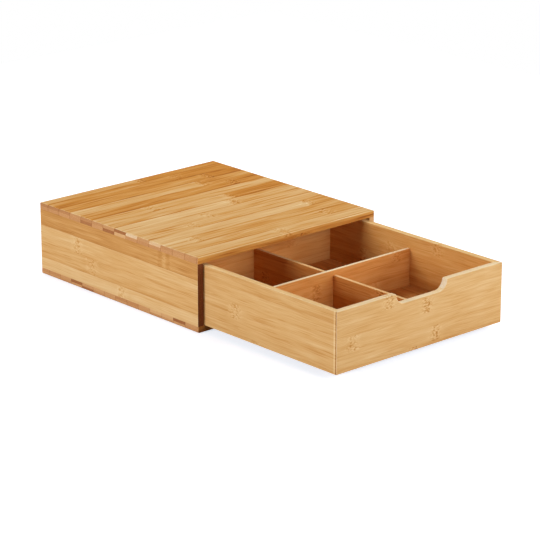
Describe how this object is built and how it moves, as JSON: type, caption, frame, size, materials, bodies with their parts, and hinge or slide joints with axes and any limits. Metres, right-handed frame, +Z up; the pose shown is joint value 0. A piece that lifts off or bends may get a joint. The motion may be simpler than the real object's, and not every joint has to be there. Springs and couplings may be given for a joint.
{
  "type": "drawer box",
  "caption": "Flat bamboo box with one wide shallow drawer, divided into four compartments, with a finger notch in its front.",
  "frame": {"origin": "centre of the casing's underside, on the surface that the box stands on", "axes": "+Z up; the drawer opens towards -Y; +X to the right as seen from the front of the casing looking at its back"},
  "size_m": [0.264, 0.487, 0.086],
  "materials": {
    "casing_board": "satin",
    "casing_side": "satin",
    "drawer_wall": "satin",
    "drawer_floor": "satin",
    "divider": "satin",
    "dowel": "satin"
  },
  "bodies": {
    "casing": {"top_board": "casing_board", "bottom_board": "casing_board", "left_side_board": "casing_side", "right_side_board": "casing_side", "back_board": "casing_side", "top_dowels": "dowel", "bottom_dowels": "dowel"},
    "drawer": {"drawer_front": "drawer_wall", "drawer_back": "drawer_wall", "drawer_left_side": "drawer_wall", "drawer_right_side": "drawer_wall", "drawer_floor_panel": "drawer_floor", "cross_divider": "divider", "centre_divider": "divider"}
  },
  "joints": [
    {"name": "drawer_slide", "type": "slide", "parent": "casing", "child": "drawer", "axis": [0, -1, 0], "range_m": [-0.207, 0.02]}
  ]
}
